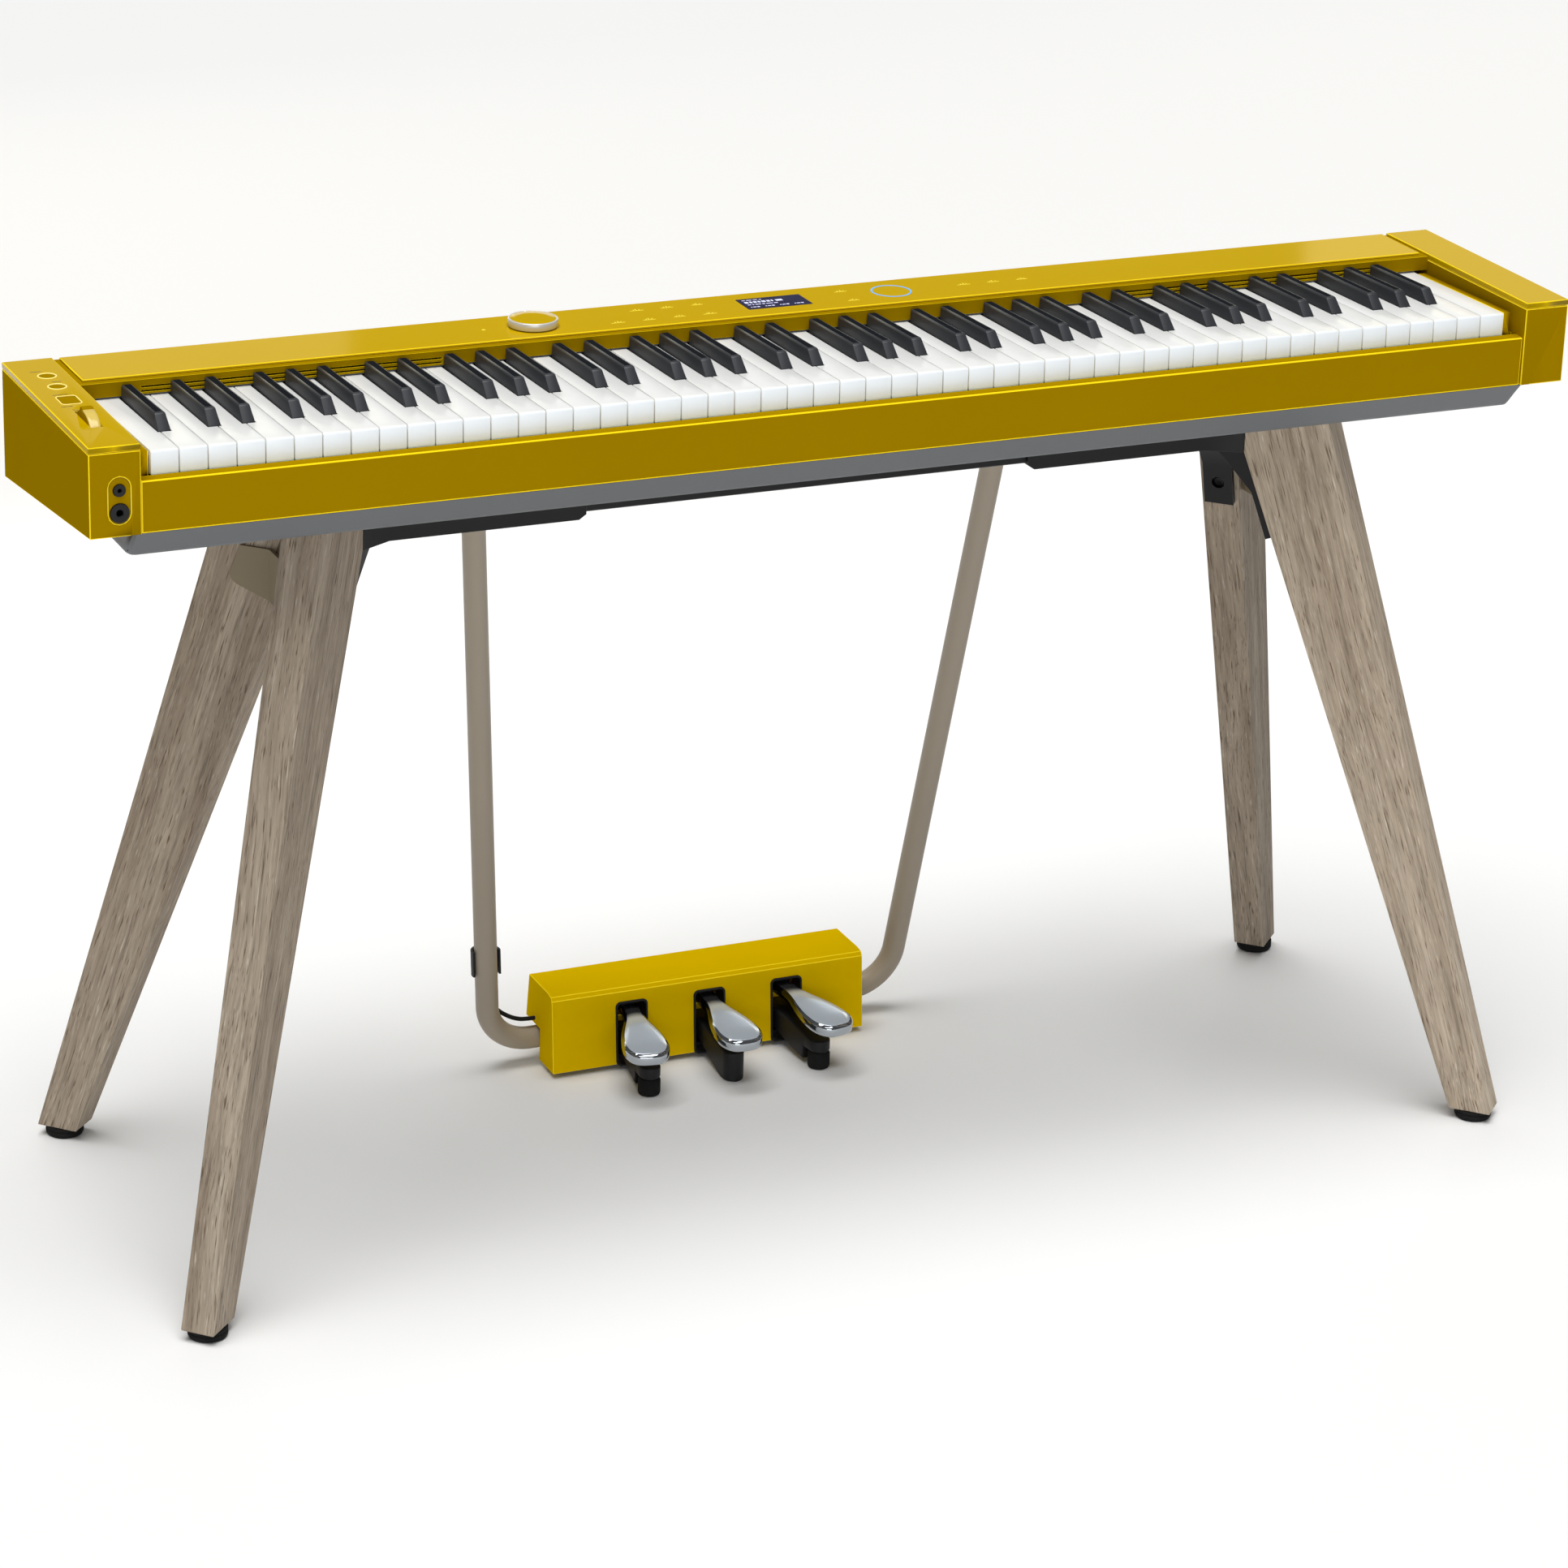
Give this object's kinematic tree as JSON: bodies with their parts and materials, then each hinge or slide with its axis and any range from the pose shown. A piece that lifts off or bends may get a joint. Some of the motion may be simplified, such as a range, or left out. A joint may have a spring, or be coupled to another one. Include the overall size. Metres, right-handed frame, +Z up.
{
  "type": "digital piano on stand",
  "caption": "Slim full-size digital piano with hinged keys on a four-legged wooden stand, with a sprung three-pedal unit hung on a bent tube.",
  "frame": {"origin": "on the floor, under the middle of the stand", "axes": "+X to the player's right along the keyboard, +Y away from the player, +Z up"},
  "size_m": [1.336, 0.458, 0.7554],
  "materials": {
    "mustard_plastic": "smooth mustard yellow shell plastic, satin gloss",
    "gloss_panel": "high-gloss mustard yellow touch panel",
    "grey_plastic": "fine-textured mid grey moulding",
    "white_key_plastic": "satin white key plastic",
    "black_key_plastic": "matt dark grey key plastic",
    "black_plastic": "matt black moulding",
    "felt": "dark grey-violet felt",
    "silver_trim": "silver dial edge",
    "display_glass": "dark display window",
    "blue_light": "lit ring",
    "circuit_board": "green circuit board",
    "oak": "grey-brown oak, satin lacquer",
    "rubber": "black rubber",
    "black_steel": "black powder coat",
    "tan_cover": "tan satin paint",
    "taupe_paint": "taupe satin paint",
    "chrome": "bright chrome plate"
  },
  "bodies": {
    "frame": {"left_end_block": "mustard_plastic", "right_end_block": "mustard_plastic", "left_lid": "mustard_plastic", "right_lid": "mustard_plastic", "rear_deck": "mustard_plastic", "front_rail": "mustard_plastic", "pedal_box": "mustard_plastic", "touch_panel": "gloss_panel", "bottom_case": "grey_plastic", "key_bed": "black_plastic", "headphone_jacks": "black_plastic", "left_speaker": "black_plastic", "right_speaker": "black_plastic", "pedal_base": "black_plastic", "cable_clip": "black_plastic", "pedal_cable": "black_plastic", "key_felt": "felt", "display_window": "display_glass", "light_ring": "blue_light", "main_board": "circuit_board", "front_left_leg": "oak", "rear_left_leg": "oak", "front_right_leg": "oak", "rear_right_leg": "oak", "front_left_foot": "rubber", "rear_left_foot": "rubber", "front_right_foot": "rubber", "rear_right_foot": "rubber", "left_bracket": "black_steel", "right_bracket": "black_steel", "cross_bar": "black_steel", "left_cover_plate": "tan_cover", "right_cover_plate": "tan_cover", "support_tube": "taupe_paint"},
    "white_low": {"white_keys_low": "white_key_plastic"},
    "black_low": {"black_keys_low": "black_key_plastic"},
    "key_c4": {"key_c4": "white_key_plastic"},
    "key_c4_sharp": {"key_c4_sharp": "black_key_plastic"},
    "key_d4": {"key_d4": "white_key_plastic"},
    "key_d4_sharp": {"key_d4_sharp": "black_key_plastic"},
    "key_e4": {"key_e4": "white_key_plastic"},
    "key_f4": {"key_f4": "white_key_plastic"},
    "key_f4_sharp": {"key_f4_sharp": "black_key_plastic"},
    "key_g4": {"key_g4": "white_key_plastic"},
    "key_g4_sharp": {"key_g4_sharp": "black_key_plastic"},
    "key_a4": {"key_a4": "white_key_plastic"},
    "key_a4_sharp": {"key_a4_sharp": "black_key_plastic"},
    "key_b4": {"key_b4": "white_key_plastic"},
    "white_high": {"white_keys_high": "white_key_plastic"},
    "black_high": {"black_keys_high": "black_key_plastic"},
    "dial_knob": {"dial_knob": "silver_trim"},
    "pitch_wheel": {"pitch_wheel": "mustard_plastic"},
    "power_button": {"power_button": "mustard_plastic"},
    "round_button": {"round_button": "mustard_plastic"},
    "square_button": {"square_button": "mustard_plastic"},
    "left_pedal": {"left_pedal": "chrome"},
    "middle_pedal": {"middle_pedal": "chrome"},
    "right_pedal": {"right_pedal": "chrome"},
    "left_adjuster": {"left_adjuster": "black_plastic"},
    "right_adjuster": {"right_adjuster": "black_plastic"}
  },
  "joints": [
    {"name": "white_low_keys_press", "type": "hinge", "parent": "frame", "child": "white_low", "pos_m": [0, 0.0848, 0.7175], "axis": [1, 0, 0], "range_deg": [0, 2.8], "stiffness_Nm_per_rad": 34.5, "springref_deg": -7.45},
    {"name": "black_low_keys_press", "type": "hinge", "parent": "frame", "child": "black_low", "pos_m": [0, 0.0848, 0.7175], "axis": [1, 0, 0], "range_deg": [0, 2.8], "stiffness_Nm_per_rad": 12.8, "springref_deg": -7.45},
    {"name": "key_c4_press", "type": "hinge", "parent": "frame", "child": "key_c4", "pos_m": [0, 0.0848, 0.7175], "axis": [1, 0, 0], "range_deg": [0, 2.8], "stiffness_Nm_per_rad": 1.5, "springref_deg": -7.45},
    {"name": "key_c4_sharp_press", "type": "hinge", "parent": "frame", "child": "key_c4_sharp", "pos_m": [0, 0.0848, 0.7175], "axis": [1, 0, 0], "range_deg": [0, 2.8], "stiffness_Nm_per_rad": 0.8, "springref_deg": -7.45},
    {"name": "key_d4_press", "type": "hinge", "parent": "frame", "child": "key_d4", "pos_m": [0, 0.0848, 0.7175], "axis": [1, 0, 0], "range_deg": [0, 2.8], "stiffness_Nm_per_rad": 1.5, "springref_deg": -7.45},
    {"name": "key_d4_sharp_press", "type": "hinge", "parent": "frame", "child": "key_d4_sharp", "pos_m": [0, 0.0848, 0.7175], "axis": [1, 0, 0], "range_deg": [0, 2.8], "stiffness_Nm_per_rad": 0.8, "springref_deg": -7.45},
    {"name": "key_e4_press", "type": "hinge", "parent": "frame", "child": "key_e4", "pos_m": [0, 0.0848, 0.7175], "axis": [1, 0, 0], "range_deg": [0, 2.8], "stiffness_Nm_per_rad": 1.5, "springref_deg": -7.45},
    {"name": "key_f4_press", "type": "hinge", "parent": "frame", "child": "key_f4", "pos_m": [0, 0.0848, 0.7175], "axis": [1, 0, 0], "range_deg": [0, 2.8], "stiffness_Nm_per_rad": 1.5, "springref_deg": -7.45},
    {"name": "key_f4_sharp_press", "type": "hinge", "parent": "frame", "child": "key_f4_sharp", "pos_m": [0, 0.0848, 0.7175], "axis": [1, 0, 0], "range_deg": [0, 2.8], "stiffness_Nm_per_rad": 0.8, "springref_deg": -7.45},
    {"name": "key_g4_press", "type": "hinge", "parent": "frame", "child": "key_g4", "pos_m": [0, 0.0848, 0.7175], "axis": [1, 0, 0], "range_deg": [0, 2.8], "stiffness_Nm_per_rad": 1.5, "springref_deg": -7.45},
    {"name": "key_g4_sharp_press", "type": "hinge", "parent": "frame", "child": "key_g4_sharp", "pos_m": [0, 0.0848, 0.7175], "axis": [1, 0, 0], "range_deg": [0, 2.8], "stiffness_Nm_per_rad": 0.8, "springref_deg": -7.45},
    {"name": "key_a4_press", "type": "hinge", "parent": "frame", "child": "key_a4", "pos_m": [0, 0.0848, 0.7175], "axis": [1, 0, 0], "range_deg": [0, 2.8], "stiffness_Nm_per_rad": 1.5, "springref_deg": -7.45},
    {"name": "key_a4_sharp_press", "type": "hinge", "parent": "frame", "child": "key_a4_sharp", "pos_m": [0, 0.0848, 0.7175], "axis": [1, 0, 0], "range_deg": [0, 2.8], "stiffness_Nm_per_rad": 0.8, "springref_deg": -7.45},
    {"name": "key_b4_press", "type": "hinge", "parent": "frame", "child": "key_b4", "pos_m": [0, 0.0848, 0.7175], "axis": [1, 0, 0], "range_deg": [0, 2.8], "stiffness_Nm_per_rad": 1.5, "springref_deg": -7.45},
    {"name": "white_high_keys_press", "type": "hinge", "parent": "frame", "child": "white_high", "pos_m": [0, 0.0848, 0.7175], "axis": [1, 0, 0], "range_deg": [0, 2.8], "stiffness_Nm_per_rad": 33, "springref_deg": -7.45},
    {"name": "black_high_keys_press", "type": "hinge", "parent": "frame", "child": "black_high", "pos_m": [0, 0.0848, 0.7175], "axis": [1, 0, 0], "range_deg": [0, 2.8], "stiffness_Nm_per_rad": 12, "springref_deg": -7.45},
    {"name": "dial_turn", "type": "hinge", "parent": "frame", "child": "dial_knob", "pos_m": [-0.2215, 0.0628, 0.7505], "axis": [0, 0, 1], "range_deg": [-150, 150]},
    {"name": "pitch_wheel_turn", "type": "hinge", "parent": "frame", "child": "pitch_wheel", "pos_m": [-0.645, -0.0657, 0.7265], "axis": [1, 0, 0], "range_deg": [-35, 35], "stiffness_Nm_per_rad": 0.03},
    {"name": "power_button_press", "type": "slide", "parent": "frame", "child": "power_button", "axis": [0, 0, -1], "range_m": [0, 0.0008], "stiffness_N_per_m": 800, "springref_m": -0.0006},
    {"name": "round_button_press", "type": "slide", "parent": "frame", "child": "round_button", "axis": [0, 0, -1], "range_m": [0, 0.0008], "stiffness_N_per_m": 800, "springref_m": -0.0006},
    {"name": "square_button_press", "type": "slide", "parent": "frame", "child": "square_button", "axis": [0, 0, -1], "range_m": [0, 0.0008], "stiffness_N_per_m": 800, "springref_m": -0.0006},
    {"name": "left_pedal_press", "type": "hinge", "parent": "frame", "child": "left_pedal", "pos_m": [0, 0.205, 0.0555], "axis": [1, 0, 0], "range_deg": [0, 6], "stiffness_Nm_per_rad": 12, "springref_deg": -5.73},
    {"name": "middle_pedal_press", "type": "hinge", "parent": "frame", "child": "middle_pedal", "pos_m": [0, 0.205, 0.0555], "axis": [1, 0, 0], "range_deg": [0, 6], "stiffness_Nm_per_rad": 12, "springref_deg": -5.73},
    {"name": "right_pedal_press", "type": "hinge", "parent": "frame", "child": "right_pedal", "pos_m": [0, 0.205, 0.0555], "axis": [1, 0, 0], "range_deg": [0, 6], "stiffness_Nm_per_rad": 12, "springref_deg": -5.73},
    {"name": "left_adjuster_turn", "type": "hinge", "parent": "frame", "child": "left_adjuster", "pos_m": [-0.0846, 0.099, 0.008], "axis": [0, 0, 1], "range_deg": [-180, 180]},
    {"name": "right_adjuster_turn", "type": "hinge", "parent": "frame", "child": "right_adjuster", "pos_m": [0.0846, 0.099, 0.008], "axis": [0, 0, 1], "range_deg": [-180, 180]}
  ]
}
